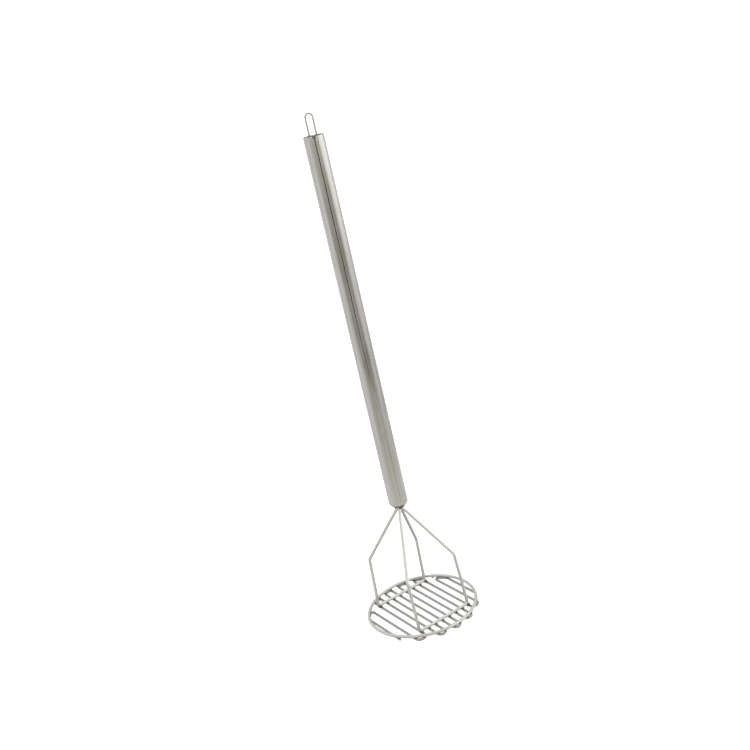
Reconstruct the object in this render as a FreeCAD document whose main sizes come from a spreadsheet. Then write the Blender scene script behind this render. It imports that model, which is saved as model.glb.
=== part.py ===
import FreeCAD, Part
import math
import os
import Sketcher

# Long-handled wire masher, modelled standing on its mashing grid.
# Frame: +Z up along the handle, bars of the grid along X, crossbars of the frame wires along Y.
# Origin: on the table, under the handle's axis. Millimetres and degrees.

V = FreeCAD.Vector
UP = V(0, 0, 1)

# alias, value, meaning
DIMENSIONS = [
    ("ring_radius", 67.2, "rim ring, axis to wire centre"),
    ("ring_wire", 3.8, "rim ring, wire diameter"),
    ("grid_wire", 3.1, "mashing grid, wire diameter"),
    ("bar_pitch", 10.3, "spacing of the eight inner bars"),
    ("low_side_pitch", 12.9, "spacing of the two outer bars on the -Y side"),
    ("high_side_pitch", 11.1, "spacing of the two outer bars on the +Y side"),
    ("grid_offset", 2.8, "how far the inner bars are welded off centre, along Y"),
    ("front_overhang", 2.1, "front bends past the ring's centre line"),
    ("back_overhang", 0.7, "back bends past the ring's centre line"),
    ("end_overhang", 0.9, "free wire ends past the ring's centre line"),
    ("frame_wire", 3.8, "frame wires, diameter"),
    ("crossbar_offset", 44.6, "handle axis to a crossbar's centre line"),
    ("foot_spread", 36.8, "handle axis plane to a leg's foot, along Y"),
    ("foot_bend", 4.0, "bend radius at a foot, to the wire's centre"),
    ("knee_reach", 40.0, "handle axis plane to a knee, along X"),
    ("knee_spread", 35.5, "handle axis plane to a knee, along Y"),
    ("high_knee", 73.2, "height of two diagonally opposite knees"),
    ("low_knee", 67.4, "height of the other two knees"),
    ("knee_bend", 5.0, "bend radius at a knee"),
    ("shank_bend", 7.0, "bend radius where a leg enters the handle"),
    ("shank_depth", 24.0, "length of the straight shanks inside the handle"),
    ("shank_gap", 0.1, "clearance between neighbouring shanks"),
    ("mouth_height", 145.4, "table to the lower end of the handle"),
    ("mouth_clearance", 1.64, "shanks to the edge of the hole in the handle's lower end"),
    ("mouth_flat", 1.1, "flat ring between that hole and the rounded corner"),
    ("tube_radius", 11.6, "handle, outer radius"),
    ("tube_wall", 0.9, "handle, sheet thickness"),
    ("tube_length", 440.4, "handle, lower end to open top"),
    ("rim_round", 0.3, "rounding of the open top edge"),
    ("seam_angle", -28.0, "direction of the open seam, from +X"),
    ("seam_length", 276.0, "open part of the seam, from the top down"),
    ("seam_gap_top", 1.3, "seam width below its notch"),
    ("seam_gap_bottom", 0.7, "seam width at its lower end"),
    ("notch_width", 3.0, "notch where the seam meets the top edge"),
    ("notch_depth", 3.0, "depth of that notch"),
    ("loop_wire", 2.1, "hanging loop, wire diameter"),
    ("loop_spacing", 8.0, "hanging loop, leg centre to leg centre"),
    ("loop_rise", 23.8, "top of the hanging loop above the handle"),
    ("loop_depth", 22.0, "length of the loop's legs inside the handle"),
    ("loop_gap", 0.05, "clearance between the loop and the wall"),
    ("weld_gap", 0.1, "gap between crossing wires, filled by their weld"),
    ("rim_bead", 1.75, "radius of a weld bead under the ring"),
    ("crossbar_bead", 1.75, "radius of a weld bead under a crossbar"),
    ("foot_bead", 2.5, "radius of a weld bead at a foot"),
    ("loop_bead", 1.75, "radius of a weld bead at the end of a loop leg"),
    ("neck_bead_height", 7.2, "height of the weld that fills the handle's mouth"),
    ("neck_bead_drop", 4.3, "how far that weld hangs below the mouth"),
]

INNER_BARS = 8
OUTER_BARS = 4
BARS = INNER_BARS + OUTER_BARS

doc = FreeCAD.newDocument("masher")
sheet = doc.addObject("Spreadsheet::Sheet", "dims")
for row, (alias, value, meaning) in enumerate(DIMENSIONS, start=1):
    sheet.set(f"A{row}", str(value))
    sheet.set(f"B{row}", meaning)
    sheet.setAlias(f"A{row}", alias)
doc.recompute()


def dim(alias):
    """Value of one cell of the sheet."""
    return float(sheet.get(alias))


def plane(body, role):
    """One of the body's own origin planes."""
    return next(item for item in body.Origin.OriginFeatures if item.Role == role)


def new_body(name):
    body = doc.addObject("PartDesign::Body", name)
    body.Label = name
    return body


def new_sketch(body, name, role, lift=None):
    """A sketch on an origin plane, lifted off it by an expression."""
    sketch = body.newObject("Sketcher::SketchObject", name)
    sketch.AttachmentSupport = [(plane(body, role), "")]
    sketch.MapMode = "FlatFace"
    if lift:
        sketch.setExpression("AttachmentOffset.Base.z", lift)
    return sketch


def bind(sketch, kind, *args, formula):
    """Add a constraint whose value follows the sheet."""
    index = sketch.addConstraint(Sketcher.Constraint(kind, *args))
    sketch.setExpression(f"Constraints[{index}]", formula)


def tie_point(sketch, edge, end, x_formula, y_formula, x, y):
    """Hold one end of an edge at a place that follows the sheet."""
    bind(sketch, "DistanceX", -1, 1, edge, end, x, formula=x_formula)
    bind(sketch, "DistanceY", -1, 1, edge, end, y, formula=y_formula)


def closed_outline(sketch, corners):
    """Straight closed outline. A corner is (x, y, x formula, y formula)."""
    points = [V(x, y, 0) for x, y, _, _ in corners]
    count = len(points)
    for index in range(count):
        sketch.addGeometry(Part.LineSegment(points[index], points[(index + 1) % count]), False)
    for index in range(count):
        following = (index + 1) % count
        sketch.addConstraint(Sketcher.Constraint("Coincident", index, 2, following, 1))
    for index, (x, y, x_formula, y_formula) in enumerate(corners):
        tie_point(sketch, index, 1, x_formula, y_formula, x, y)


# ---------------------------------------------------------------- places on the head

def bar_share(index):
    """How many inner, low-side and high-side pitches a bar lies from the inner bars' middle."""
    steps = index - (BARS - 1) / 2
    limit = (INNER_BARS - 1) / 2
    inner = max(-limit, min(limit, steps))
    return inner, min(0.0, steps + limit), max(0.0, steps - limit)


def bar_y(index):
    inner, low, high = bar_share(index)
    spread = inner * dim("bar_pitch") + low * dim("low_side_pitch") + high * dim("high_side_pitch")
    return dim("grid_offset") + spread


def bar_formula(index):
    inner, low, high = bar_share(index)
    return (
        f"(dims.grid_offset + ({inner}) * dims.bar_pitch"
        f" + ({low}) * dims.low_side_pitch + ({high}) * dims.high_side_pitch)"
    )


def bend_side(index):
    """Bars index and index + 1 are joined at the back (-X) or at the front (+X)."""
    return -1 if index % 2 == 0 else 1


def overhang_name(index):
    return "front_overhang" if bend_side(index) > 0 else "back_overhang"


def bend_place(index):
    """Centre x, centre y and radius of the bend between bars index and index + 1."""
    middle = (bar_y(index) + bar_y(index + 1)) / 2
    radius = (bar_y(index + 1) - bar_y(index)) / 2
    centre_circle = dim("ring_radius") + dim(overhang_name(index)) - radius
    return bend_side(index) * math.sqrt(centre_circle ** 2 - middle ** 2), middle, radius


def bend_formulas(index):
    low, high = bar_formula(index), bar_formula(index + 1)
    middle = f"(({low} + {high}) / 2)"
    radius = f"(({high} - {low}) / 2)"
    centre_circle = f"(dims.ring_radius + dims.{overhang_name(index)} - {radius})"
    return f"{bend_side(index)} * sqrt({centre_circle}^2 - {middle}^2)", radius


def free_end_x(index):
    return math.sqrt((dim("ring_radius") + dim("end_overhang")) ** 2 - bar_y(index) ** 2)


def free_end_formula(index):
    return f"sqrt((dims.ring_radius + dims.end_overhang)^2 - {bar_formula(index)}^2)"


def ring_crossing(index, side):
    """Where the ring's centre circle passes over one end of a bar, or over its bend."""
    ring = dim("ring_radius")
    y = bar_y(index)
    straight = V(side * math.sqrt(ring ** 2 - y ** 2), y, 0)
    neighbour = index if bend_side(index) == side else index - 1
    if neighbour < 0 or neighbour >= BARS - 1:
        return straight
    centre_x, centre_y, radius = bend_place(neighbour)
    if side * straight.x <= side * centre_x:
        return straight
    distance = math.hypot(centre_x, centre_y)
    along = (ring ** 2 - radius ** 2 + distance ** 2) / (2 * distance)
    across = math.sqrt(ring ** 2 - along ** 2)
    outward = V(centre_x / distance, centre_y / distance, 0)
    sideways = V(-outward.y, outward.x, 0)
    choices = [outward * along + sideways * across, outward * along - sideways * across]
    return min(choices, key=lambda point: abs(point.y - y))


def crossbar_height():
    return dim("grid_wire") + dim("weld_gap") + dim("frame_wire") / 2


def shank_place():
    """Distance of each shank from the handle's middle planes."""
    return (dim("frame_wire") + dim("shank_gap")) / 2


def mouth_radius():
    """Hole in the handle's lower end, drawn in round the four shanks."""
    return shank_place() * math.sqrt(2) + dim("frame_wire") / 2 + dim("mouth_clearance")


def tube_corner():
    """Outer corner radius of the drawn-in end: what the hole and its flat ring leave."""
    return dim("tube_radius") - dim("mouth_flat") - mouth_radius()


MOUTH_FORMULA = (
    "((dims.frame_wire + dims.shank_gap) / 2 * sqrt(2) + dims.frame_wire / 2"
    " + dims.mouth_clearance)"
)
CORNER_FORMULA = f"(dims.tube_radius - dims.mouth_flat - {MOUTH_FORMULA})"


# ---------------------------------------------------------------- mashing grid

def make_mashing_grid():
    """One wire bent to and fro into twelve bars, with both free ends at the front."""
    body = new_body("mashing_grid")
    path = new_sketch(body, "grid_path", "XY_Plane", "dims.grid_wire / 2")
    bars = []
    bends = []
    for index in range(BARS):
        y = bar_y(index)
        back = bend_place(index if index % 2 == 0 else index - 1)[0]
        last = index in (0, BARS - 1)
        front = free_end_x(index) if last else bend_place(index if index % 2 else index - 1)[0]
        run = (front, back) if index % 2 == 0 else (back, front)
        line = Part.LineSegment(V(run[0], y, 0), V(run[1], y, 0))
        bars.append(path.addGeometry(line, False))
        path.addConstraint(Sketcher.Constraint("Horizontal", bars[-1]))
    for index in range(BARS - 1):
        x, y, radius = bend_place(index)
        circle = Part.Circle(V(x, y, 0), UP, radius)
        if bend_side(index) > 0:
            arc = Part.ArcOfCircle(circle, -math.pi / 2, math.pi / 2)
            start, finish = 1, 2
        else:
            arc = Part.ArcOfCircle(circle, math.pi / 2, 3 * math.pi / 2)
            start, finish = 2, 1
        bend = path.addGeometry(arc, False)
        bends.append(bend)
        path.addConstraint(Sketcher.Constraint("Tangent", bars[index], 2, bend, start))
        path.addConstraint(Sketcher.Constraint("Tangent", bars[index + 1], 1, bend, finish))
    for index, bend in enumerate(bends):
        x, _, radius = bend_place(index)
        x_formula, radius_formula = bend_formulas(index)
        bind(path, "DistanceX", -1, 1, bend, 3, x, formula=x_formula)
        bind(path, "Radius", bend, radius, formula=radius_formula)
    bind(path, "DistanceY", -1, 1, bars[0], 1, bar_y(0), formula=bar_formula(0))
    bind(path, "DistanceX", -1, 1, bars[0], 1, free_end_x(0), formula=free_end_formula(0))
    last = BARS - 1
    bind(path, "DistanceX", -1, 1, bars[last], 2, free_end_x(last), formula=free_end_formula(last))

    section = new_sketch(body, "grid_section", "YZ_Plane", free_end_formula(0))
    radius = dim("grid_wire") / 2
    section.addGeometry(Part.Circle(V(bar_y(0), radius, 0), UP, radius), False)
    bind(section, "Radius", 0, radius, formula="dims.grid_wire / 2")
    tie_point(section, 0, 3, bar_formula(0), "dims.grid_wire / 2", bar_y(0), radius)
    doc.recompute()
    pipe = body.newObject("PartDesign::AdditivePipe", "grid_pipe")
    pipe.Profile = section
    pipe.Spine = (path, [])
    pipe.Mode = "Standard"
    doc.recompute()
    return body


# ---------------------------------------------------------------- rim ring

def make_rim_ring():
    """Plain round ring that lies on the bars and on their bends."""
    ring = doc.addObject("Part::Torus", "rim_ring")
    ring.Label = "rim_ring"
    ring.setExpression("Radius1", "dims.ring_radius")
    ring.setExpression("Radius2", "dims.ring_wire / 2")
    ring.setExpression("Placement.Base.z",
                       "dims.grid_wire + dims.weld_gap + dims.ring_wire / 2")
    doc.recompute()
    return ring


# ---------------------------------------------------------------- frame wires

def bent_path(points, radii):
    """Straight runs joined by tangent arcs. radii belong to the points between the ends."""
    edges = []
    start = points[0]
    for before, corner, after, radius in zip(points, points[1:], points[2:], radii):
        into = (corner - before).normalize()
        out = (after - corner).normalize()
        turn = into.getAngle(out)
        setback = radius * math.tan(turn / 2)
        arc_start = corner - into * setback
        arc_end = corner + out * setback
        inward = (out - into).normalize()
        to_centre = radius / math.cos(turn / 2)
        arc_middle = corner + inward * (to_centre - radius)
        edges.append(Part.LineSegment(start, arc_start).toShape())
        edges.append(Part.Arc(arc_start, arc_middle, arc_end).toShape())
        start = arc_end
    edges.append(Part.LineSegment(start, points[-1]).toShape())
    return Part.Wire(edges)


def round_sweep(path, radius):
    """Solid round wire along a path."""
    start = path.OrderedVertexes[0].Point
    direction = path.OrderedEdges[0].tangentAt(path.OrderedEdges[0].FirstParameter)
    section = Part.Wire(Part.Circle(start, direction, radius).toShape())
    return path.makePipeShell([section], True, False)


def frame_points(side):
    """Route of one frame wire: shank, knee, foot, crossbar, foot, knee, shank."""
    shank = shank_place()
    mouth = dim("mouth_height")
    low_y_knee = dim("high_knee") if side < 0 else dim("low_knee")
    high_y_knee = dim("low_knee") if side < 0 else dim("high_knee")
    points = []
    for across, knee in ((-1, low_y_knee), (1, high_y_knee)):
        leg = [
            V(side * shank, across * shank, mouth + dim("shank_depth")),
            V(side * shank, across * shank, mouth - dim("neck_bead_drop")),
            V(side * dim("knee_reach"), across * dim("knee_spread"), knee),
            V(side * dim("crossbar_offset"), across * dim("foot_spread"), crossbar_height()),
        ]
        points += leg if across < 0 else leg[::-1]
    return points


def make_frame_wire(side, name):
    """Two legs and the crossbar between their feet, bent from one wire."""
    wire = doc.addObject("Part::Feature", name)
    wire.Label = name
    bends = [dim("shank_bend"), dim("knee_bend"), dim("foot_bend")]
    path = bent_path(frame_points(side), bends + bends[::-1])
    wire.Shape = round_sweep(path, dim("frame_wire") / 2)
    expected = path.Length * math.pi * (dim("frame_wire") / 2) ** 2
    if abs(wire.Shape.Volume / expected - 1) > 0.01:
        raise RuntimeError(f"{name} doesn't have its wire's volume")
    return wire


# ---------------------------------------------------------------- handle tube

def make_handle_tube():
    """Sheet rolled into a tube: lower end drawn in round the shanks, seam open at the top."""
    body = new_body("handle_tube")
    body.setExpression("Placement.Base.z", "dims.mouth_height")
    body.setExpression("Placement.Rotation.Angle", "dims.seam_angle")
    outer, wall = dim("tube_radius"), dim("tube_wall")
    corner, length, mouth = tube_corner(), dim("tube_length"), mouth_radius()
    profile = new_sketch(body, "tube_profile", "XZ_Plane")
    inner = outer - wall
    bend_x = outer - corner
    quarter = math.pi / 2
    shape = [
        Part.LineSegment(V(mouth, 0, 0), V(bend_x, 0, 0)),
        Part.ArcOfCircle(Part.Circle(V(bend_x, corner, 0), UP, corner), -quarter, 0),
        Part.LineSegment(V(outer, corner, 0), V(outer, length, 0)),
        Part.LineSegment(V(outer, length, 0), V(inner, length, 0)),
        Part.LineSegment(V(inner, length, 0), V(inner, corner, 0)),
        Part.ArcOfCircle(Part.Circle(V(bend_x, corner, 0), UP, corner - wall), -quarter, 0),
        Part.LineSegment(V(bend_x, wall, 0), V(mouth, wall, 0)),
        Part.LineSegment(V(mouth, wall, 0), V(mouth, 0, 0)),
    ]
    for item in shape:
        profile.addGeometry(item, False)
    for edge, end, other, other_end in ((0, 2, 1, 1), (1, 2, 2, 1), (4, 2, 5, 2), (5, 1, 6, 1)):
        profile.addConstraint(Sketcher.Constraint("Tangent", edge, end, other, other_end))
    for edge, other in ((2, 3), (3, 4), (6, 7), (7, 0)):
        profile.addConstraint(Sketcher.Constraint("Coincident", edge, 2, other, 1))
    for edge in (0, 3, 6):
        profile.addConstraint(Sketcher.Constraint("Horizontal", edge))
    for edge in (2, 4, 7):
        profile.addConstraint(Sketcher.Constraint("Vertical", edge))
    tie_point(profile, 2, 2, "dims.tube_radius", "dims.tube_length", outer, length)
    bind(profile, "DistanceX", -1, 1, 4, 1, inner, formula="dims.tube_radius - dims.tube_wall")
    bind(profile, "Radius", 1, corner, formula=CORNER_FORMULA)
    bind(profile, "Radius", 5, corner - wall, formula=f"{CORNER_FORMULA} - dims.tube_wall")
    tie_point(profile, 7, 2, MOUTH_FORMULA, "0", mouth, 0)
    bind(profile, "DistanceY", -1, 1, 7, 1, wall, formula="dims.tube_wall")
    doc.recompute()
    turned = body.newObject("PartDesign::Revolution", "tube_wall_turned")
    turned.Profile = profile
    turned.ReferenceAxis = (profile, ["V_Axis"])
    turned.Angle = 360
    doc.recompute()
    whole = turned.Shape.Volume

    slot = new_sketch(body, "seam_outline", "YZ_Plane")
    past = 1.0
    half = {key: dim(key) / 2 for key in ("seam_gap_bottom", "seam_gap_top", "notch_width")}
    levels = [
        ("seam_gap_bottom", "dims.tube_length - dims.seam_length", length - dim("seam_length")),
        ("seam_gap_top", "dims.tube_length - dims.notch_depth", length - dim("notch_depth")),
        ("notch_width", "dims.tube_length", length),
        ("notch_width", f"dims.tube_length + {past}", length + past),
    ]
    right = [(half[key], z, f"dims.{key} / 2", z_formula) for key, z_formula, z in levels]
    left = [(-half[key], z, f"-dims.{key} / 2", z_formula) for key, z_formula, z in levels]
    closed_outline(slot, right + left[::-1])
    doc.recompute()
    seam = body.newObject("PartDesign::Pocket", "seam")
    seam.Profile = slot
    seam.Type = "Length"
    seam.setExpression("Length", "dims.tube_radius + 1")
    seam.Reversed = True
    doc.recompute()
    removed = whole - seam.Shape.Volume
    expected = dim("seam_length") * dim("tube_wall") * dim("seam_gap_bottom")
    if removed < expected:
        raise RuntimeError("the seam cut nothing from the handle")
    top_edges = []
    for number, edge in enumerate(seam.Shape.Edges, start=1):
        flat = all(abs(vertex.Point.z - length) < 1e-4 for vertex in edge.Vertexes)
        if flat and edge.Length > outer:
            top_edges.append(f"Edge{number}")
    rim = body.newObject("PartDesign::Fillet", "rim_rounding")
    rim.Base = (seam, top_edges)
    rim.setExpression("Radius", "min(dims.rim_round; dims.tube_wall * 0.4)")
    doc.recompute()
    return body


# ---------------------------------------------------------------- hanging loop

def loop_offset():
    """Handle's axis to the plane of the loop, whose legs lie against the inner wall."""
    inner = dim("tube_radius") - dim("tube_wall")
    leg_circle = inner - dim("loop_wire") / 2 - dim("loop_gap")
    return math.sqrt(leg_circle ** 2 - (dim("loop_spacing") / 2) ** 2)


LOOP_OFFSET_FORMULA = (
    "sqrt((dims.tube_radius - dims.tube_wall - dims.loop_wire / 2 - dims.loop_gap)^2"
    " - (dims.loop_spacing / 2)^2)"
)


def make_hanging_loop():
    """Hairpin whose legs go down inside the top of the handle, opposite the seam."""
    body = new_body("hanging_loop")
    body.setExpression("Placement.Base.z", "dims.mouth_height + dims.tube_length")
    body.setExpression("Placement.Rotation.Angle", "dims.seam_angle + 180")
    half = dim("loop_spacing") / 2
    top = dim("loop_rise") - dim("loop_wire") / 2 - half
    bottom = -dim("loop_depth")
    path = new_sketch(body, "loop_path", "YZ_Plane", LOOP_OFFSET_FORMULA)
    path.addGeometry(Part.LineSegment(V(half, bottom, 0), V(half, top, 0)), False)
    bow = Part.Circle(V(0, top, 0), UP, half)
    path.addGeometry(Part.ArcOfCircle(bow, 0, math.pi), False)
    path.addGeometry(Part.LineSegment(V(-half, top, 0), V(-half, bottom, 0)), False)
    path.addConstraint(Sketcher.Constraint("Tangent", 0, 2, 1, 1))
    path.addConstraint(Sketcher.Constraint("Tangent", 1, 2, 2, 1))
    path.addConstraint(Sketcher.Constraint("Vertical", 0))
    path.addConstraint(Sketcher.Constraint("Vertical", 2))
    tie_point(path, 0, 1, "dims.loop_spacing / 2", "-dims.loop_depth", half, bottom)
    bind(path, "DistanceY", -1, 1, 2, 2, bottom, formula="-dims.loop_depth")
    tie_point(path, 1, 3, "0", "dims.loop_rise - (dims.loop_wire + dims.loop_spacing) / 2", 0, top)

    section = new_sketch(body, "loop_section", "XY_Plane", "-dims.loop_depth")
    radius = dim("loop_wire") / 2
    section.addGeometry(Part.Circle(V(loop_offset(), half, 0), UP, radius), False)
    bind(section, "Radius", 0, radius, formula="dims.loop_wire / 2")
    tie_point(section, 0, 3, LOOP_OFFSET_FORMULA, "dims.loop_spacing / 2", loop_offset(), half)
    doc.recompute()
    pipe = body.newObject("PartDesign::AdditivePipe", "loop_pipe")
    pipe.Profile = section
    pipe.Spine = (path, [])
    pipe.Mode = "Standard"
    doc.recompute()
    return body


# ---------------------------------------------------------------- welds

def weld_group(name, beads, neighbours):
    """Beads with the wires and walls that they join cut away, as one group of solids."""
    solids = []
    for bead in beads:
        for neighbour in neighbours:
            bead = bead.cut(neighbour)
        solids += bead.Solids
    group = doc.addObject("Part::Feature", name)
    group.Label = name
    group.Shape = Part.makeCompound(solids)
    return group


def frame_shapes():
    return [left_frame.Shape, right_frame.Shape]


def contact_height():
    return dim("grid_wire") + dim("weld_gap") / 2


def rim_bead_places():
    return [ring_crossing(index, side) + V(0, 0, contact_height())
            for index in range(BARS) for side in (-1, 1)]


def make_rim_welds():
    beads = [Part.makeSphere(dim("rim_bead"), place) for place in rim_bead_places()]
    return weld_group("rim_welds", beads, [rim_ring.Shape, grid.Shape])


def make_crossbar_welds():
    """A bead where each crossbar lies on a bar, and a bigger one at each foot."""
    run = dim("foot_spread") - dim("foot_bend")
    bar_height = dim("grid_wire") / 2
    beads = []
    for side in (-1, 1):
        x = side * dim("crossbar_offset")
        for index in range(BARS):
            y = bar_y(index)
            if abs(y) <= run:
                place = V(x, y, contact_height())
                beads.append(Part.makeSphere(dim("crossbar_bead"), place))
            elif abs(y) <= run + dim("foot_bend") + dim("grid_wire"):
                bend_centre = V(x, math.copysign(run, y), crossbar_height() + dim("foot_bend"))
                bar = V(x, y, bar_height)
                outward = (bar - bend_centre).normalize()
                on_wire = bend_centre + outward * (dim("foot_bend") + dim("frame_wire") / 2)
                on_bar = bar - outward * (dim("grid_wire") / 2)
                beads.append(Part.makeSphere(dim("foot_bead"), (on_wire + on_bar) / 2))
    return weld_group("crossbar_welds", beads, frame_shapes() + [grid.Shape])


def make_neck_weld():
    """Braze that fills the handle's mouth round the four shanks."""
    mouth = dim("mouth_height")
    drop, height = dim("neck_bead_drop"), dim("neck_bead_height")
    radius = mouth_radius()
    lip = radius - drop
    outline = [V(0, 0, mouth - drop), V(lip, 0, mouth - drop), V(radius, 0, mouth),
               V(radius, 0, mouth + height - drop), V(0, 0, mouth + height - drop)]
    edges = [Part.makeLine(start, end) for start, end in zip(outline, outline[1:] + outline[:1])]
    plug = Part.Face(Part.Wire(edges)).revolve(V(0, 0, 0), UP, 360)
    return weld_group("neck_weld", [plug], frame_shapes())


def make_loop_welds():
    """A bead round the end of each leg of the loop, against the inner wall."""
    angle = math.radians(dim("seam_angle") + 180)
    outward = V(math.cos(angle), math.sin(angle), 0)
    sideways = V(-outward.y, outward.x, 0)
    height = dim("mouth_height") + dim("tube_length") - dim("loop_depth")
    beads = []
    for side in (-1, 1):
        leg = outward * loop_offset() + sideways * (side * dim("loop_spacing") / 2)
        beads.append(Part.makeSphere(dim("loop_bead"), leg + V(0, 0, height)))
    return weld_group("loop_welds", beads, [tube.Shape, loop.Shape])


# ---------------------------------------------------------------- assembly

grid = make_mashing_grid()
rim_ring = make_rim_ring()
left_frame = make_frame_wire(-1, "left_frame_wire")
right_frame = make_frame_wire(1, "right_frame_wire")
tube = make_handle_tube()
loop = make_hanging_loop()
pieces = [
    tube,
    loop,
    make_loop_welds(),
    left_frame,
    right_frame,
    make_neck_weld(),
    rim_ring,
    grid,
    make_rim_welds(),
    make_crossbar_welds(),
]
doc.recompute()

for item in doc.Objects:
    if "Invalid" in item.State or "Error" in item.State:
        raise RuntimeError(f"{item.Name} failed: {item.State}")
for piece in pieces:
    if piece.Shape.isNull() or not piece.Shape.isValid():
        raise RuntimeError(f"{piece.Label} has no valid shape")

os.makedirs("parts", exist_ok=True)
for piece in pieces:
    piece.Shape.exportStep(os.path.join("parts", piece.Label + ".step"))
    print(f"{piece.Label}: {len(piece.Shape.Solids)} solid(s), {piece.Shape.Volume:.1f} mm3")
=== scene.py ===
import math
import random

import bmesh
import bpy
from mathutils import Matrix, Vector, noise


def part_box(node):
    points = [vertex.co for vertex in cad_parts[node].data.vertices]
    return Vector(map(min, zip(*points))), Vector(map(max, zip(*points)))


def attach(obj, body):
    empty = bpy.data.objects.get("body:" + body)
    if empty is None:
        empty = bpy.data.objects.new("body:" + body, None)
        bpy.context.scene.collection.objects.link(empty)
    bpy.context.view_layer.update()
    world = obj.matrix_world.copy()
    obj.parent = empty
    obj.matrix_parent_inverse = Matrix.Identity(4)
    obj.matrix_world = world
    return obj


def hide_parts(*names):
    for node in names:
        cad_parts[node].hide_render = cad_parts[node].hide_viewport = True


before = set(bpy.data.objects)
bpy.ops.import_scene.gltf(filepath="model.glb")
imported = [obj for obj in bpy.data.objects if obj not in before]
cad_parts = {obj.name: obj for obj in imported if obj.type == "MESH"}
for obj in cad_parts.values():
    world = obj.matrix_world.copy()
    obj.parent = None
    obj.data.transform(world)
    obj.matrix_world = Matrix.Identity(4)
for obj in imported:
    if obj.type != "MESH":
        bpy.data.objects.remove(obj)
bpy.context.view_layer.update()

MM = 0.001
UP = Vector((0, 0, 1))

# Without a seed, noise_vector takes its offsets from the clock, and the wires differ each run.
WANDER_SEED = 1795190273
noise.seed_set(WANDER_SEED)

# ------------------------------------------------------------------ sizes, in metres

# From the boxes of the CAD nodes.
ring_low, ring_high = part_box("rim_ring")
RING_WIRE = ring_high.z - ring_low.z
RING_RADIUS = (ring_high.x - ring_low.x - RING_WIRE) / 2
RING_Z = (ring_low.z + ring_high.z) / 2

grid_low, grid_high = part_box("mashing_grid")
GRID_WIRE = grid_high.z - grid_low.z
GRID_Z = (grid_low.z + grid_high.z) / 2
CONTACT_Z = (grid_high.z + ring_low.z) / 2

tube_low, tube_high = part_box("handle_tube")
TUBE_RADIUS = (tube_high.x - tube_low.x) / 2
TUBE_MOUTH = tube_low.z
TUBE_TOP = tube_high.z

frame_low, frame_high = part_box("right_frame_wire")
FRAME_WIRE = RING_WIRE
CROSSBAR_Z = frame_low.z + FRAME_WIRE / 2
CROSSBAR_X = frame_high.x - FRAME_WIRE / 2
SHANK_TOP = frame_high.z

loop_low, loop_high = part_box("hanging_loop")
LOOP_BOTTOM = loop_low.z
LOOP_TOP = loop_high.z

# Sizes that the boxes don't give, the same as in the CAD model.
BARS = 12
INNER_BARS = 8
BAR_PITCH = 10.3 * MM
LOW_SIDE_PITCH = 12.9 * MM
HIGH_SIDE_PITCH = 11.1 * MM
GRID_OFFSET = 2.8 * MM
FRONT_OVERHANG = 2.1 * MM
BACK_OVERHANG = 0.7 * MM
END_OVERHANG = 0.9 * MM
FOOT_SPREAD = 36.8 * MM
FOOT_BEND = 4.0 * MM
KNEE_REACH = 40.0 * MM
KNEE_SPREAD = 35.5 * MM
HIGH_KNEE = 73.2 * MM
LOW_KNEE = 67.4 * MM
KNEE_BEND = 5.0 * MM
SHANK_BEND = 7.0 * MM
SHANK_PLACE = 1.95 * MM
MOUTH_DROP = 4.3 * MM
MOUTH_RADIUS = 6.3 * MM
MOUTH_FLAT = 1.1 * MM
MOUTH_CORNER = TUBE_RADIUS - MOUTH_FLAT - MOUTH_RADIUS
TUBE_WALL = 0.9 * MM
SEAM_ANGLE = math.radians(-28)
SEAM_LENGTH = 276 * MM
SEAM_END = TUBE_TOP - SEAM_LENGTH
LOOP_WIRE = 2.1 * MM
LOOP_SPACING = 8.0 * MM
LOOP_GAP = 0.05 * MM

# Finer shapes, which only the visual model has.
TIGHT_BEND = 2.8 * MM
ROUND_BEND_SHARE = 0.97
SEAM_TOP_GAP = 1.5 * MM
SEAM_TAPER = 0.45
NOTCH_WIDTH = 4.6 * MM
NOTCH_DEPTH = 4.4 * MM
LIP_CURL = 0.6
LIP_REACH = 1.3 * MM
RIM_EDGE = 0.25 * MM
RIM_ROUND = 0.22 * MM
WIRE_END_ROUND = 0.35
WELD_HEAT_REACH = 3.2 * MM
MOUTH_HEAT_REACH = 3 * MM
# Painted shade: how strongly the inside of the handle's tube is darkened, standing in for the
# shade within it.
INNER_PAINTED_SHADE = 1.8

# ------------------------------------------------------------------ mesh helpers


def add_object(name, mesh, node, material):
    """One visible piece that stands for one CAD node."""
    piece = bpy.data.objects.new(name, mesh)
    bpy.context.scene.collection.objects.link(piece)
    mesh.materials.append(material)
    mesh.shade_smooth()
    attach(piece, "root")
    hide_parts(node)
    return piece


def new_mesh(name, verts, faces, attributes):
    """A mesh with its own point attributes: vectors or plain numbers, one per vertex."""
    mesh = bpy.data.meshes.new(name)
    mesh.from_pydata(verts, [], faces)
    for key, values in attributes.items():
        if isinstance(values[0], (float, int)):
            layer = mesh.attributes.new(key, "FLOAT", "POINT")
            layer.data.foreach_set("value", values)
        else:
            layer = mesh.attributes.new(key, "FLOAT_VECTOR", "POINT")
            layer.data.foreach_set("vector", [x for value in values for x in value])
    mesh.validate()
    mesh.update()
    return mesh


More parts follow.
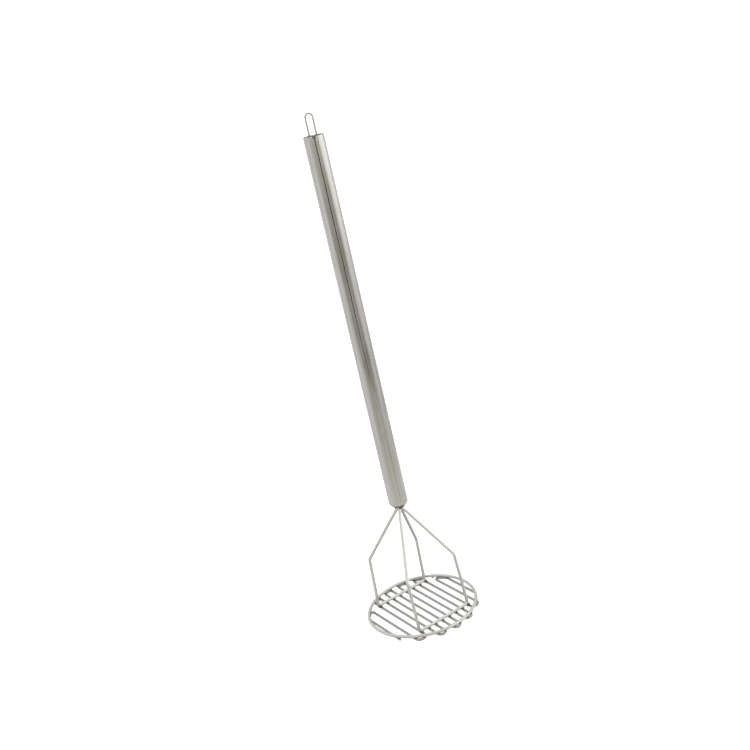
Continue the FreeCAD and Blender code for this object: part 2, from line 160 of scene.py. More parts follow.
def rounded_path(corners, radii, step):
    """Points along straight runs and tangent arcs, about one step apart."""
    points = []

    def run_to(end):
        start = points[-1]
        count = max(1, round((end - start).length / step))
        points.extend(start.lerp(end, k / count) for k in range(1, count + 1))

    points.append(corners[0].copy())
    for before, corner, after, radius in zip(corners, corners[1:], corners[2:], radii):
        into = (corner - before).normalized()
        out = (after - corner).normalized()
        turn = into.angle(out)
        setback = radius * math.tan(turn / 2)
        run_to(corner - into * setback)
        centre = corner + (out - into).normalized() * (radius / math.cos(turn / 2))
        spoke = points[-1] - centre
        axis = into.cross(out).normalized()
        count = max(6, round(radius * turn / step * 1.6))
        for k in range(1, count + 1):
            points.append(centre + Matrix.Rotation(turn * k / count, 3, axis) @ spoke)
    run_to(corners[-1])
    return points


def wandering(points, amount, wavelength, seed):
    """The same path, no straighter than hand-bent wire is."""
    moved = []
    travelled = 0.0
    for index, point in enumerate(points):
        if index:
            travelled += (point - points[index - 1]).length
        place = Vector((travelled / wavelength, seed * 7.31, 0.5))
        push = noise.noise_vector(place) * amount
        moved.append(point + push)
    return moved


def tangents_along(points, closed):
    """Direction of the path at each point."""
    count = len(points)
    tangents = []
    for index in range(count):
        before = points[index - 1] if index or closed else points[0]
        after = points[(index + 1) % count] if index < count - 1 or closed else points[-1]
        tangents.append((after - before).normalized())
    return tangents


def wire_rings(points, radius, closed):
    """Centre, tangent, normal, radius and travelled length of each ring of a wire's mesh. The
    normal turns with the path and doesn't twist."""
    tangents = tangents_along(points, closed)
    normal = tangents[0].orthogonal().normalized()
    if abs(tangents[0].z) < 0.9:
        normal = (UP - tangents[0] * UP.dot(tangents[0])).normalized()
    rings = []
    travelled = 0.0
    for index, (point, tangent) in enumerate(zip(points, tangents)):
        if index:
            travelled += (point - points[index - 1]).length
            turn = tangents[index - 1].rotation_difference(tangent)
            normal = (turn @ normal).normalized()
            normal = (normal - tangent * normal.dot(tangent)).normalized()
        rings.append((point, tangent, normal.copy(), radius, travelled))
    return rings


def end_rings(ring, outward, radius):
    """Rings that round one cut end of a wire. Outward is 1 past its last ring, -1 before its
    first."""
    point, tangent, normal, _, travelled = ring
    cap = radius * WIRE_END_ROUND
    steps = 4
    rings = []
    for k in range(1, steps + 1):
        angle = math.pi / 2 * k / steps
        size = radius - cap + cap * math.cos(angle)
        reach = cap * math.sin(angle) * outward
        rings.append((point + tangent * reach, tangent, normal, size, travelled + reach))
    return rings


def sweep(points, radius, sides, closed):
    """Verts, faces and attributes of a round wire. 'straight' is each vertex's place on the
    wire as it was before bending, so that the drawn grain follows every bend."""
    rings = wire_rings(points, radius, closed)
    if not closed:
        start = end_rings(rings[0], -1, radius)
        rings = start[::-1] + rings + end_rings(rings[-1], 1, radius)
    verts, faces, straight = [], [], []
    for point, tangent, normal, size, along in rings:
        side = tangent.cross(normal)
        for k in range(sides):
            angle = 2 * math.pi * k / sides
            c, s = math.cos(angle), math.sin(angle)
            verts.append(point + (normal * c + side * s) * size)
            straight.append((size * c, size * s, along))
    total = len(rings)
    for index in range(total if closed else total - 1):
        low, high = index * sides, (index + 1) % total * sides
        for k in range(sides):
            following = (k + 1) % sides
            faces.append((low + k, low + following, high + following, high + k))
    if not closed:
        faces.append(tuple(range(sides))[::-1])
        faces.append(tuple(range((total - 1) * sides, total * sides)))
    return verts, faces, straight


def heat_at(verts, places, reach):
    """How near each vertex lies to a weld, from 0 to 1."""
    values = []
    for vert in verts:
        nearest = min((vert - place).length_squared for place in places)
        values.append(math.exp(-nearest / reach ** 2))
    return values


def wire_piece(name, node, material, points, radius, sides, welds, closed=False):
    """A wire along the points, with temper tint near its welds."""
    verts, faces, straight = sweep(points, radius, sides, closed)
    heat = heat_at(verts, welds, WELD_HEAT_REACH)
    mesh = new_mesh(name, verts, faces, {"straight": straight, "heat": heat})
    return add_object(name, mesh, node, material)


# ------------------------------------------------------------------ places on the head


def bar_y(index):
    """Y of a bar. The inner bars share one pitch, and each outer pair has its own."""
    steps = index - (BARS - 1) / 2
    limit = (INNER_BARS - 1) / 2
    inner = max(-limit, min(limit, steps))
    low, high = min(0.0, steps + limit), max(0.0, steps - limit)
    return GRID_OFFSET + inner * BAR_PITCH + low * LOW_SIDE_PITCH + high * HIGH_SIDE_PITCH


def has_free_end(index):
    """The outermost bars end at the front, where all the others bend."""
    return index in (0, BARS - 1)


def front_bend(index):
    """Centre x, centre y and radius of the front bend that a bar runs into."""
    first = index if index % 2 else index - 1
    middle = (bar_y(first) + bar_y(first + 1)) / 2
    radius = (bar_y(first + 1) - bar_y(first)) / 2
    centre_circle = RING_RADIUS + FRONT_OVERHANG - radius
    return math.sqrt(centre_circle ** 2 - middle ** 2), middle, radius


def circle_x(radius, y):
    """X, on the front side, of the place on a circle round the origin with a given y."""
    return math.sqrt(radius ** 2 - y ** 2)


def ring_crossing(index, side):
    """Where the ring's centre circle passes over one end of a bar, or over its front bend."""
    y = bar_y(index)
    straight = Vector((side * circle_x(RING_RADIUS, y), y, CONTACT_Z))
    if side < 0 or has_free_end(index):
        return straight
    centre_x, centre_y, radius = front_bend(index)
    if straight.x <= centre_x:
        return straight
    distance = math.hypot(centre_x, centre_y)
    along = (RING_RADIUS ** 2 - radius ** 2 + distance ** 2) / (2 * distance)
    across = math.sqrt(RING_RADIUS ** 2 - along ** 2)
    outward = Vector((centre_x, centre_y, 0)) / distance
    sideways = Vector((-outward.y, outward.x, 0))
    choices = [outward * along + sideways * across, outward * along - sideways * across]
    best = min(choices, key=lambda point: abs(point.y - y))
    best.z = CONTACT_Z
    return best


RIM_WELDS = [ring_crossing(index, side) for index in range(BARS) for side in (-1, 1)]


def crossbar_welds():
    """Place and radius of each weld between the crossbars and the bars."""
    straight_run = FOOT_SPREAD - FOOT_BEND
    foot_y = FOOT_SPREAD - FOOT_BEND * 0.35
    foot_z = (GRID_Z + CROSSBAR_Z) / 2 + 0.2 * MM
    bead, foot_bead = 1.95 * MM, 2.7 * MM
    places = []
    for side in (-1, 1):
        for index in range(BARS):
            y = bar_y(index)
            if abs(y) <= straight_run:
                places.append((Vector((side * CROSSBAR_X, y, CONTACT_Z)), bead))
            elif abs(y) <= FOOT_SPREAD + GRID_WIRE:
                middle = (y + math.copysign(foot_y, y)) / 2
                places.append((Vector((side * CROSSBAR_X, middle, foot_z)), foot_bead))
    return places


CROSSBAR_WELDS = crossbar_welds()

# ------------------------------------------------------------------ materials


class Graph:
    """A node tree with short ways to add and join nodes."""

    def __init__(self, tree):
        self.tree = tree

    def add(self, kind, values=None, **settings):
        node = self.tree.nodes.new(kind)
        for key, value in settings.items():
            setattr(node, key, value)
        for key, value in (values or {}).items():
            if isinstance(value, bpy.types.NodeSocket):
                self.tree.links.new(value, node.inputs[key])
            else:
                node.inputs[key].default_value = value
        return node

    def attribute(self, name):
        """A point attribute of the mesh."""
        return self.add("ShaderNodeAttribute", attribute_name=name)

    def stretched_noise(self, vector, scale, detail, rough):
        """Noise whose grain is finer or longer on each axis: scale is in cells per metre."""
        mapping = self.add("ShaderNodeMapping", {"Vector": vector, "Scale": scale})
        values = {"Vector": mapping.outputs[0], "Scale": 1.0, "Detail": detail, "Roughness": rough}
        return self.add("ShaderNodeTexNoise", values).outputs[0]

    def ramp(self, fac, stops):
        """A colour ramp through (place, colour) stops."""
        node = self.add("ShaderNodeValToRGB", {"Fac": fac})
        elements = node.color_ramp.elements
        while len(elements) < len(stops):
            elements.new(0.5)
        for element, (place, colour) in zip(elements, stops):
            element.position = place
            element.color = (*colour, 1)
        return node.outputs[0]

    def remap(self, value, from_low, from_high, to_low, to_high):
        """A value moved from one range into another, and held inside it."""
        values = {"Value": value, "From Min": from_low, "From Max": from_high,
                  "To Min": to_low, "To Max": to_high}
        return self.add("ShaderNodeMapRange", values).outputs[0]

    def mix(self, fac, first, second, blend="MIX"):
        """Two colours mixed. The sockets are a colour mix node's factor, A, B and result."""
        node = self.add("ShaderNodeMix", data_type="RGBA", blend_type=blend)
        for socket, value in ((0, fac), (6, first), (7, second)):
            if isinstance(value, bpy.types.NodeSocket):
                self.tree.links.new(value, node.inputs[socket])
            else:
                node.inputs[socket].default_value = value
        return node.outputs[2]

    def maths(self, operation, first, second):
        """One sum of two numbers."""
        return self.add("ShaderNodeMath", {0: first, 1: second}, operation=operation).outputs[0]

    def bump(self, height, strength, distance, below=None):
        """A normal raised by a height, on top of another bump's normal where one is given."""
        values = {"Height": height, "Strength": strength, "Distance": distance}
        if below:
            values["Normal"] = below
        return self.add("ShaderNodeBump", values).outputs[0]


def grey(value, warmth=0.0):
    """A neutral or slightly warm grey."""
    return (value * (1 + warmth * 0.5), value, value * (1 - warmth), 1)


def new_material(name):
    """A material, its graph and its principled shader."""
    material = bpy.data.materials.new(name)
    material.use_nodes = True
    tree = material.node_tree
    return material, Graph(tree), tree.nodes["Principled BSDF"]


def steel_tone(graph, streaks, clouds, specks, tones, warmth, pits):
    """Colour of clean steel: light and dark streaks, faint clouds of tint, dark pits."""
    dark, light = tones
    streak_tone = graph.remap(streaks, 0.32, 0.68, 0.0, 1.0)
    colour = graph.mix(streak_tone, grey(dark, warmth), grey(light, warmth))
    cloud_tone = graph.ramp(clouds, [(0.36, (0.93, 0.935, 0.87)), (0.52, (1, 1, 1)),
                                     (0.66, (1.0, 0.955, 0.94))])
    colour = graph.mix(1.0, colour, cloud_tone, "MULTIPLY")
    pit_tone = graph.ramp(specks, [(0.26, (0.55, 0.54, 0.50)), (0.34, (1, 1, 1))])
    return graph.mix(pits, colour, pit_tone, "MULTIPLY")


def metal(name, tones, rough, grain, grain_depth, warmth, heat_and_shade_colour, pits):
    """Bare steel whose grain runs along the piece: streaks, smudges, scratches, temper tint near
    welds, and painted shade inside the handle's tube.
    Grain is the streaks' cells per metre, across and along the piece."""
    material, graph, shader = new_material(name)
    link = graph.tree.links.new
    straight = graph.attribute("straight").outputs["Vector"]
    across, along = grain
    streaks = graph.stretched_noise(straight, (across, across, along), 8.0, 0.65)
    fine = graph.stretched_noise(straight, (across * 3.1, across * 3.1, along * 4), 4.0, 0.5)
    clouds = graph.stretched_noise(straight, (60.0, 60.0, 22.0), 5.0, 0.55)
    specks = graph.stretched_noise(straight, (1500.0, 1500.0, 900.0), 3.0, 0.6)
    nicks = graph.stretched_noise(straight, (420.0, 420.0, 2600.0), 2.0, 0.4)

    colour = steel_tone(graph, streaks, clouds, specks, tones, warmth, pits)
    # This attribute's tint is temper colour near welds and, on the inside of the handle's tube,
    # painted shade; the ramp below darkens the colour by it.
    heat = graph.attribute("heat").outputs["Fac"]
    tint = graph.maths("MULTIPLY", heat, graph.remap(clouds, 0.3, 0.7, 0.55, 1.1))
    heat_and_shade_tone = graph.ramp(tint, [(0.0, (1, 1, 1)), (0.35, (0.97, 0.93, 0.84)),
                                  (0.62, (0.80, 0.72, 0.62)), (0.95, heat_and_shade_colour)])
    link(graph.mix(1.0, colour, heat_and_shade_tone, "MULTIPLY"), shader.inputs["Base Color"])

    polished, dull = rough
    roughness = graph.remap(streaks, 0.3, 0.7, polished, dull)
    smudge = graph.remap(clouds, 0.35, 0.65, -0.04, 0.05)
    roughness = graph.maths("ADD", roughness, smudge)
    burnt = graph.maths("MULTIPLY", tint, 0.28)
    link(graph.maths("ADD", roughness, burnt), shader.inputs["Roughness"])

    normal = graph.bump(streaks, 0.55, grain_depth)
    normal = graph.bump(fine, 0.35, grain_depth * 0.5, normal)
    normal = graph.bump(nicks, 0.12, grain_depth, normal)
    link(normal, shader.inputs["Normal"])
    shader.inputs["Metallic"].default_value = 1.0
    return material


def weld_metal(name, tones, rough, scale, depth):
    """Fused, lumpy weld metal with black scale and temper colours in its hollows."""
    material, graph, shader = new_material(name)
    link = graph.tree.links.new
    place = graph.add("ShaderNodeTexCoord").outputs["Object"]
    lumps = graph.stretched_noise(place, (scale, scale, scale), 6.0, 0.62)
    ripples = graph.stretched_noise(place, (scale * 4, scale * 4, scale * 9), 3.0, 0.5)
    low, middle, high = tones
    colour = graph.ramp(lumps, [(0.34, low), (0.5, middle), (0.68, high)])
    link(colour, shader.inputs["Base Color"])
    polished, dull = rough
    link(graph.remap(lumps, 0.3, 0.7, dull, polished), shader.inputs["Roughness"])
    normal = graph.bump(lumps, 0.7, depth)
    link(graph.bump(ripples, 0.35, depth * 0.5, normal), shader.inputs["Normal"])
    shader.inputs["Metallic"].default_value = 0.85
    return material


# The handle's darkest tint colour is painted shade: the near-black inside of its tube.
HANDLE_STEEL = metal("handle_satin_steel", tones=(0.47, 0.68), rough=(0.17, 0.27),
                     grain=(900.0, 7.0), grain_depth=0.06 * MM, warmth=0.04,
                     heat_and_shade_colour=(0.05, 0.047, 0.04), pits=0.35)
FRAME_STEEL = metal("frame_wire_steel", tones=(0.60, 0.80), rough=(0.33, 0.45),
                    grain=(1400.0, 26.0), grain_depth=0.05 * MM, warmth=0.02,
                    heat_and_shade_colour=(0.34, 0.33, 0.28), pits=0.6)
RING_STEEL = metal("ring_wire_steel", tones=(0.55, 0.72), rough=(0.26, 0.38),
                   grain=(1400.0, 30.0), grain_depth=0.05 * MM, warmth=0.02,
                   heat_and_shade_colour=(0.26, 0.25, 0.23), pits=0.7)
# Darker tones than the ring's and frame's steel: painted shade for the bars, which lie low under
# the ring.
SHADED_GRID_STEEL = metal("grid_wire_steel_painted_shade", tones=(0.36, 0.50), rough=(0.28, 0.40),
                   grain=(1400.0, 30.0), grain_depth=0.05 * MM, warmth=0.02,
                   heat_and_shade_colour=(0.20, 0.19, 0.17), pits=0.7)
LOOP_STEEL = metal("loop_wire_steel", tones=(0.42, 0.58), rough=(0.24, 0.34),
                   grain=(1600.0, 24.0), grain_depth=0.04 * MM, warmth=0.02,
                   heat_and_shade_colour=(0.40, 0.38, 0.34), pits=0.5)
SPOT_WELD = weld_metal("spot_weld_metal",
                       tones=[(0.055, 0.052, 0.048), (0.16, 0.15, 0.135), (0.34, 0.33, 0.31)],
                       rough=(0.38, 0.62), scale=620.0, depth=0.25 * MM)
NECK_BRAZE = weld_metal("neck_braze_metal",
                        tones=[(0.02, 0.023, 0.012), (0.065, 0.07, 0.04), (0.26, 0.26, 0.19)],
                        rough=(0.36, 0.60), scale=420.0, depth=0.4 * MM)

# ------------------------------------------------------------------ head


def grid_path():
    """The serpentine's centre line. Its back bends are tight and hug the ring, its front
    bends are round and stand out past the ring."""
    corners, radii = [], []
    for index in range(BARS):
        y = bar_y(index)
        back = -circle_x(RING_RADIUS + BACK_OVERHANG, y)
        if has_free_end(index):
            front, front_radius = circle_x(RING_RADIUS + END_OVERHANG, y), None
        else:
            centre_x, _, radius = front_bend(index)
            front, front_radius = centre_x + radius, radius * ROUND_BEND_SHARE
        ends = [(back, TIGHT_BEND), (front, front_radius)]
        for x, radius in ends if index % 2 else ends[::-1]:
            corners.append(Vector((x, y, GRID_Z)))
            radii.append(radius)
    return rounded_path(corners, radii[1:-1], 1.3 * MM)


def bar_sag(point):
    """Bars and bends are bent by hand: small sideways errors, in x and y."""
    sway = noise.noise_vector(Vector((point.x * 9, point.y * 60, 3.7)))
    return point + Vector((sway.x * 0.25, sway.y * 0.55, 0)) * MM


def make_grid():
    """The grid's wire, tinted at every weld."""
    points = [bar_sag(point) for point in grid_path()]
    welds = RIM_WELDS + [place for place, _ in CROSSBAR_WELDS]
    wire_piece("mashing_grid_wire", "mashing_grid", SHADED_GRID_STEEL,
               points, GRID_WIRE / 2, 20, welds)


def make_ring():
    """The ring's wire, no rounder than a ring bent by hand."""
    count = 420
    points = []
    for k in range(count):
        angle = 2 * math.pi * k / count
        wave = noise.noise(Vector((math.cos(angle) * 1.3, math.sin(angle) * 1.3, 8.1)))
        reach = RING_RADIUS + wave * 0.35 * MM
        points.append(Vector((reach * math.cos(angle), reach * math.sin(angle), RING_Z)))
    wire_piece("rim_ring_wire", "rim_ring", RING_STEEL,
               points, RING_WIRE / 2, 24, RIM_WELDS, closed=True)


def frame_corners(side):
    """Route of one frame wire: shank, knee, foot, crossbar, foot, knee, shank."""
    corners = []
    for across in (-1, 1):
        knee = HIGH_KNEE if across == side else LOW_KNEE
        leg = [
            Vector((side * SHANK_PLACE, across * SHANK_PLACE, SHANK_TOP)),
            Vector((side * SHANK_PLACE, across * SHANK_PLACE, TUBE_MOUTH - MOUTH_DROP)),
            Vector((side * KNEE_REACH, across * KNEE_SPREAD, knee)),
            Vector((side * CROSSBAR_X, across * FOOT_SPREAD, CROSSBAR_Z)),
        ]
        corners += leg if across < 0 else leg[::-1]
    return corners


def make_frame_wire(side, name, node):
    """One of the two wires that carry the head: -1 is the back one, 1 the front one."""
    bends = [SHANK_BEND, KNEE_BEND, FOOT_BEND]
    points = rounded_path(frame_corners(side), bends + bends[::-1], 1.4 * MM)
    points = wandering(points, 0.35 * MM, 45 * MM, 2 + side)
    welds = [place for place, _ in CROSSBAR_WELDS if place.x * side > 0]
    welds.append(Vector((0, 0, TUBE_MOUTH)))
    wire_piece(name, node, FRAME_STEEL, points, FRAME_WIRE / 2, 24, welds)


def blob(bm, place, sizes, lumpiness, seed):
    """A lumpy ball of weld metal, flattened by its three sizes."""
    made = bmesh.ops.create_icosphere(bm, subdivisions=3, radius=1.0)
    for vert in made["verts"]:
        direction = vert.co.normalized()
        lump = noise.noise(direction * 1.7 + Vector((seed * 3.1, seed * 1.7, 0.3)))
        size = 1 + lump * lumpiness
        vert.co = place + Vector(c * s for c, s in zip(direction, sizes)) * size


def weld_piece(name, node, material, blobs):
    """A group of weld beads, each given by its place, sizes and lumpiness."""
    bm = bmesh.new()
    for seed, (place, sizes, lumpiness) in enumerate(blobs):
        blob(bm, place, sizes, lumpiness, seed)
    mesh = bpy.data.meshes.new(name)
    bm.to_mesh(mesh)
    bm.free()
    return add_object(name, mesh, node, material)


def make_head_welds():
    """Spot welds of the ring and of the crossbars to the grid."""
    rim = [(place, (1.75 * MM, 1.75 * MM, 1.2 * MM), 0.3) for place in RIM_WELDS]
    weld_piece("rim_weld_beads", "rim_welds", SPOT_WELD, rim)
    bars = [(place, (size, size, size * 0.62), 0.3) for place, size in CROSSBAR_WELDS]
    weld_piece("crossbar_weld_beads", "crossbar_welds", SPOT_WELD, bars)


# ------------------------------------------------------------------ handle


def seam_gap(height):
    """Width of the open seam at a height; none below its lower end."""
    if height <= SEAM_END:
        return 0.0
    width = SEAM_TOP_GAP * ((height - SEAM_END) / SEAM_LENGTH) ** SEAM_TAPER
    notch = (height - (TUBE_TOP - NOTCH_DEPTH)) / NOTCH_DEPTH
    if notch > 0:
        width += (NOTCH_WIDTH - SEAM_TOP_GAP) * notch
    return width


def tube_heights():
    """Heights of the tube's levels, denser at the seam's lower end and at the notch."""
    start = TUBE_MOUTH + MOUTH_CORNER
    even, dense = 150, 8
    heights = {start + (TUBE_TOP - start) * k / even for k in range(1, even + 1)}
    heights.update(SEAM_END + 6 * MM * (k / dense) ** 2 for k in range(dense + 1))
    heights.update(TUBE_TOP - NOTCH_DEPTH * k / dense for k in range(dense + 1))
    return sorted(heights)


def tube_profile():
    """Outer and inner points (radius, height) from the mouth up to the open top."""
    centre = TUBE_RADIUS - MOUTH_CORNER
    outer, inner = [], []
    flat_steps, arc_steps = 4, 12
    for k in range(flat_steps):
        radius = MOUTH_RADIUS + MOUTH_FLAT * k / flat_steps
        outer.append((radius, TUBE_MOUTH))
        inner.append((radius, TUBE_MOUTH + TUBE_WALL))
    for k in range(arc_steps + 1):
        angle = math.pi / 2 * k / arc_steps
        s, c = math.sin(angle), math.cos(angle)
        for points, size in ((outer, MOUTH_CORNER), (inner, MOUTH_CORNER - TUBE_WALL)):
            points.append((centre + size * s, TUBE_MOUTH + MOUTH_CORNER - size * c))
    for height in tube_heights():
        edge = max(0.0, height - (TUBE_TOP - RIM_EDGE)) / RIM_EDGE
        round_in = RIM_ROUND * (1 - math.sqrt(max(0.0, 1 - edge ** 2)))
        outer.append((TUBE_RADIUS - round_in, height))
        inner.append((TUBE_RADIUS - TUBE_WALL + round_in, height))
    return outer, inner


def tube_columns():
    """Shares of the way round from one lip of the seam to the other, denser at the lips."""
    girth = 2 * math.pi * TUBE_RADIUS
    near = [d * MM / girth for d in (0, 0.12, 0.3, 0.55, 0.9, 1.3, 1.8)]
    even = 88
    start = near[-1]
    middle = [start + (1 - 2 * start) * k / even for k in range(1, even)]
    return near + middle + [1 - d for d in reversed(near)]


def tube_flaw(angle, height):
    """Rolled sheet is never quite round: long shallow waves and a finer ripple."""
    c, s = math.cos(angle), math.sin(angle)
    wave = noise.noise(Vector((c * 1.1, s * 1.1, height * 14)))
    ripple = noise.noise(Vector((c * 2.6, s * 2.6, height * 55 + 4.2)))
    return (wave * 0.10 + ripple * 0.03) * MM


def tube_level(radius, height, painted_shade, columns):
    """Verts, places on the flat sheet and tint of one level of the tube, from lip to lip: temper
    tint near the mouth, painted shade on the inner wall.
    """
    gap = seam_gap(height)
    half = gap / 2 / TUBE_RADIUS
    corner_top = TUBE_MOUTH + MOUTH_CORNER
    flaw_share = min(1.0, max(0.0, (height - corner_top) / (20 * MM)))
    mouth_heat = 0.6 * math.exp(-((height - TUBE_MOUTH) / MOUTH_HEAT_REACH) ** 2)
    verts, straight = [], []
    for share in columns:
        from_lip = min(share, 1 - share) * 2 * math.pi * TUBE_RADIUS
        curl = LIP_CURL * math.exp(-from_lip / LIP_REACH) * min(MM, gap)
        angle = SEAM_ANGLE + half + (2 * math.pi - 2 * half) * share
        c, s = math.cos(angle), math.sin(angle)
        size = radius - curl + tube_flaw(angle, height) * flaw_share
        verts.append(Vector((size * c, size * s, height)))
        straight.append((radius * c, radius * s, height))
    # The inner wall's value is painted shade inside the tube; the mouth's is temper tint from the
    # braze.
    return verts, straight, [max(painted_shade, mouth_heat)] * len(columns)


def tube_faces(outer, width):
    """Faces of the outer and inner wall, the seam's two lips, the mouth and the top rim."""
    levels = len(outer)
    faces = []

    def at(layer, level, column):
        return (layer * levels + level) * width + column

    for level in range(levels - 1):
        for column in range(width - 1):
            quad = [at(0, level, column), at(0, level, column + 1),
                    at(0, level + 1, column + 1), at(0, level + 1, column)]
            faces.append(quad)
            faces.append([vert + levels * width for vert in reversed(quad)])
        upper_height = outer[level + 1][1]
        if seam_gap(upper_height) > 0:
            for column in (0, width - 1):
                side = [at(0, level, column), at(0, level + 1, column),
                        at(1, level + 1, column), at(1, level, column)]
                faces.append(side if column == 0 else side[::-1])
    for level in (0, levels - 1):
        for column in range(width - 1):
            cap = [at(0, level, column), at(1, level, column),
                   at(1, level, column + 1), at(0, level, column + 1)]
            faces.append(cap if level == 0 else cap[::-1])
    return faces


def make_handle():
    """Sheet rolled into a tube: drawn-in lower end, open seam with a notch at its top."""
    outer, inner = tube_profile()
    columns = tube_columns()
    verts, straight, heat = [], [], []
    # The inner wall is darkened by painted shade, carried in the same attribute as the temper
    # tint.
    for points, painted_shade in ((outer, 0.0), (inner, INNER_PAINTED_SHADE)):
        for radius, height in points:
            level = tube_level(radius, height, painted_shade, columns)
            verts += level[0]
            straight += level[1]
            heat += level[2]
    faces = tube_faces(outer, len(columns))
    mesh = new_mesh("handle_sheet_tube", verts, faces, {"straight": straight, "heat": heat})
    bm = bmesh.new()
    bm.from_mesh(mesh)
    bmesh.ops.remove_doubles(bm, verts=bm.verts, dist=0.001 * MM)
    bmesh.ops.recalc_face_normals(bm, faces=bm.faces)
    bm.to_mesh(mesh)
    bm.free()
    add_object("handle_sheet_tube", mesh, "handle_tube", HANDLE_STEEL)


def make_neck_weld():
    """Braze run in between the shanks and round them, under the handle's mouth."""
    rng = random.Random(5)
    blobs = [(Vector((0, 0, TUBE_MOUTH + 0.6 * MM)), (5.9 * MM, 5.9 * MM, 1.5 * MM), 0.12),
             (Vector((0, 0, TUBE_MOUTH - 1.4 * MM)), (5.0 * MM, 5.0 * MM, 2.3 * MM), 0.3),
             (Vector((0, 0, TUBE_MOUTH - 3.0 * MM)), (3.4 * MM, 3.4 * MM, 2.6 * MM), 0.3)]
    lumps = 11
    for k in range(lumps):
        angle = 2 * math.pi * k / lumps + rng.uniform(-0.2, 0.2)
        reach = rng.uniform(4.0, 5.4) * MM
        size = rng.uniform(1.7, 2.3) * MM
        drop = rng.uniform(-3.3, -1.2) * MM
        place = Vector((reach * math.cos(angle), reach * math.sin(angle), TUBE_MOUTH + drop))
        blobs.append((place, (size, size, size * 0.9), 0.3))
    piece = weld_piece("neck_braze", "neck_weld", NECK_BRAZE, blobs)
    remesh = piece.modifiers.new("melt", "REMESH")
    remesh.mode = "VOXEL"
    remesh.voxel_size = 0.22 * MM
    remesh.use_smooth_shade = True
    smooth = piece.modifiers.new("flow", "SMOOTH")
    smooth.factor = 0.5
    smooth.iterations = 6


def make_loop():
    """Hairpin of thin wire, its legs against the inner wall opposite the seam."""
    inner = TUBE_RADIUS - TUBE_WALL - LOOP_WIRE / 2 - LOOP_GAP
    half = LOOP_SPACING / 2
    offset = math.sqrt(inner ** 2 - half ** 2)
    angle = SEAM_ANGLE + math.pi
    outward = Vector((math.cos(angle), math.sin(angle), 0))
    sideways = Vector((-outward.y, outward.x, 0))
    bow_height = LOOP_TOP - LOOP_WIRE / 2 - half
    rise = bow_height - LOOP_BOTTOM
    leg_steps, bow_steps = round(rise / MM), 24
    shape = [(half, LOOP_BOTTOM + rise * k / leg_steps) for k in range(leg_steps)]
    for k in range(bow_steps + 1):
        turn = math.pi * k / bow_steps
        shape.append((half * math.cos(turn), bow_height + half * math.sin(turn)))
    shape += [(-half, bow_height - rise * k / leg_steps) for k in range(1, leg_steps + 1)]
    points = [outward * offset + sideways * x + UP * z for x, z in shape]
    points = wandering(points, 0.12 * MM, 18 * MM, 9)
    ends = [points[0], points[-1]]
    wire_piece("hanging_loop_wire", "hanging_loop", LOOP_STEEL,
               points, LOOP_WIRE / 2, 20, ends)
    towards_wall = outward * 0.2 * MM
    beads = [(end + towards_wall, (1.7 * MM, 1.7 * MM, 1.9 * MM), 0.25) for end in ends]
    weld_piece("loop_weld_beads", "loop_welds", SPOT_WELD, beads)


# ------------------------------------------------------------------ stage, camera, light

CAMERA_AZIMUTH = math.radians(60.51)
CAMERA_ELEVATION = math.radians(22.35)
CAMERA_ROLL = math.radians(-13.07)
CAMERA_PAN = math.radians(0.606)
CAMERA_TILT = math.radians(4.051)
CAMERA_DISTANCE = 1.2136
CAMERA_LENS = 49.645
AIM = Vector((0, 0, 0.219))
PANEL_TURN = math.radians(76)


def direction(azimuth, elevation):
    """Unit vector towards a place round the object. Azimuth 0 is at -Y, 90 at +X."""
    flat = math.cos(elevation)
    return Vector((math.sin(azimuth) * flat, -math.cos(azimuth) * flat, math.sin(elevation)))


def make_camera():
    """Camera that looks past the handle's middle, rolled so that the handle leans left."""
    back = direction(CAMERA_AZIMUTH, CAMERA_ELEVATION)
    right = Vector((math.cos(CAMERA_AZIMUTH), math.sin(CAMERA_AZIMUTH), 0))
    rolled = Matrix.Rotation(CAMERA_ROLL, 3, back)
    right = rolled @ right
    upward = back.cross(right)
    turn = Matrix.Rotation(CAMERA_PAN, 3, upward)
    right, back = turn @ right, turn @ back
    tip = Matrix.Rotation(CAMERA_TILT, 3, right)
    upward, back = tip @ upward, tip @ back
    data = bpy.data.cameras.new("camera")
    camera = bpy.data.objects.new("camera", data)
    bpy.context.scene.collection.objects.link(camera)
    place = Matrix((right, upward, back)).transposed().to_4x4()
    place.translation = AIM + direction(CAMERA_AZIMUTH, CAMERA_ELEVATION) * CAMERA_DISTANCE
    camera.matrix_world = place
    data.lens = CAMERA_LENS
    data.sensor_width = 36
    bpy.context.scene.camera = camera


def make_floor():
    """Wide pale light table: its own glow keeps the wires' shadows away."""
    size = 200.0
    bm = bmesh.new()
    bmesh.ops.create_grid(bm, x_segments=8, y_segments=8, size=size)
    mesh = bpy.data.meshes.new("floor")
    bm.to_mesh(mesh)
    bm.free()
    floor = bpy.data.objects.new("floor", mesh)
    bpy.context.scene.collection.objects.link(floor)
    material, graph, shader = new_material("floor_paper")
    place = graph.add("ShaderNodeTexCoord").outputs["Object"]
    fibre = graph.stretched_noise(place, (300.0, 300.0, 300.0), 4.0, 0.6)
    tone = graph.ramp(fibre, [(0.3, (0.93, 0.93, 0.93)), (0.7, (0.96, 0.96, 0.96))])
    graph.tree.links.new(tone, shader.inputs["Base Color"])
    shader.inputs["Roughness"].default_value = 0.9
    shader.inputs["Specular IOR Level"].default_value = 0.1
    shader.inputs["Emission Color"].default_value = (1, 1, 1, 1)
    shader.inputs["Emission Strength"].default_value = 0.6
    mesh.materials.append(material)
    floor.visible_glossy = False


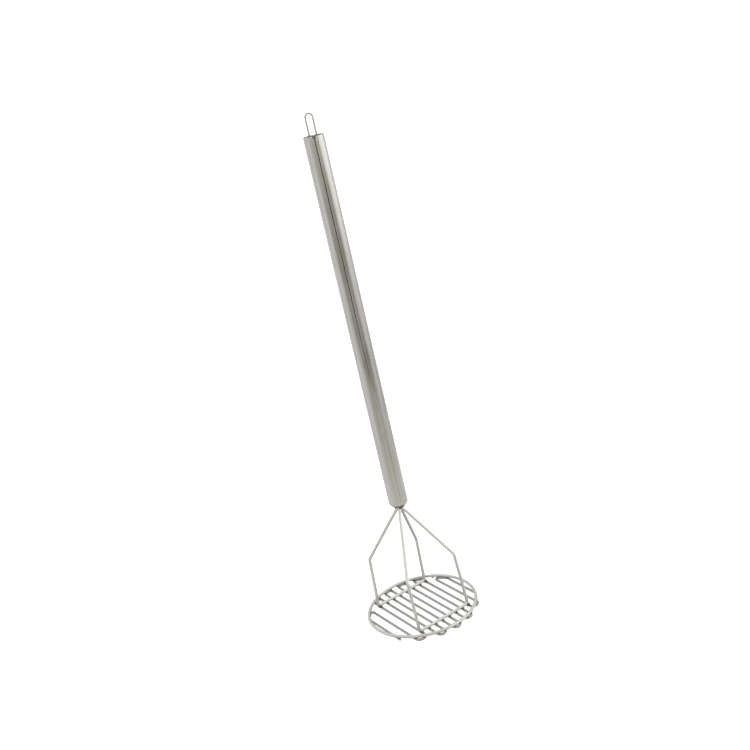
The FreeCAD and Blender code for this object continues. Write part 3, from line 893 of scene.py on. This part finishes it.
def make_world():
    """Soft studio tent, bright overhead. A panel at the right of the camera is brightest, and
    a stretch low down, where the photographer would stand, is dim."""
    world = bpy.data.worlds.new("studio")
    bpy.context.scene.world = world
    world.use_nodes = True
    nodes = world.node_tree.nodes
    link = world.node_tree.links.new
    graph = Graph(world.node_tree)
    ray = graph.add("ShaderNodeTexCoord").outputs["Generated"]

    def towards(azimuth):
        side = direction(azimuth, 0)
        dot = graph.add("ShaderNodeVectorMath", {0: ray, 1: side}, operation="DOT_PRODUCT")
        return dot.outputs["Value"]

    def greys(fac, stops):
        return graph.ramp(fac, [(place, (tone, tone, tone)) for place, tone in stops])

    rise = graph.add("ShaderNodeSeparateXYZ", {0: ray}).outputs["Z"]
    height = graph.remap(rise, -1.0, 1.0, 0.0, 1.0)
    around = greys(height, [(0.0, 0.42), (0.20, 0.76), (0.33, 0.86), (0.46, 0.88),
                            (0.70, 0.88), (1.0, 1.05)])
    front = greys(height, [(0.0, 0.45), (0.22, 0.92), (0.29, 0.95), (0.325, 0.33), (0.41, 0.35),
                           (0.46, 0.72), (0.60, 0.85), (1.0, 1.05)])
    front = graph.mix(1.0, front, (1.0, 0.985, 0.90, 1), "MULTIPLY")
    facing = greys(towards(CAMERA_AZIMUTH), [(0.35, 0.0), (0.85, 1.0)])
    tone = graph.mix(facing, around, front)
    right = towards(CAMERA_AZIMUTH + PANEL_TURN)
    low_right = graph.mix(1.0, greys(right, [(0.35, 0.0), (0.75, 1.0)]),
                          greys(height, [(0.295, 0.0), (0.335, 1.0), (0.38, 1.0), (0.46, 0.0)]),
                          "MULTIPLY")
    tone = graph.mix(low_right, tone, graph.mix(1.0, tone, grey(0.66), "MULTIPLY"))
    panel = greys(right, [(0.76, 0.0), (0.93, 1.0)])
    panel_height = greys(height, [(0.36, 0.0), (0.47, 1.0), (0.70, 1.0), (0.80, 0.0)])
    glow = graph.mix(1.0, panel, panel_height, "MULTIPLY")
    tone = graph.mix(1.0, tone, graph.mix(1.0, glow, grey(0.85), "MULTIPLY"), "ADD")
    background = nodes["Background"]
    link(tone, background.inputs["Color"])
    background.inputs["Strength"].default_value = 1.0
    plain = graph.add("ShaderNodeBackground", {"Color": (1, 1, 1, 1), "Strength": 1.05})
    seen = graph.add("ShaderNodeLightPath").outputs["Is Camera Ray"]
    choice = graph.add("ShaderNodeMixShader", {0: seen, 1: background.outputs[0],
                                               2: plain.outputs[0]})
    link(choice.outputs[0], nodes["World Output"].inputs["Surface"])


make_camera()
make_world()
make_floor()
make_grid()
make_ring()
make_frame_wire(-1, "back_frame_wire", "left_frame_wire")
make_frame_wire(1, "front_frame_wire", "right_frame_wire")
make_head_welds()
make_handle()
make_neck_weld()
make_loop()
bpy.context.scene.view_settings.view_transform = "Standard"
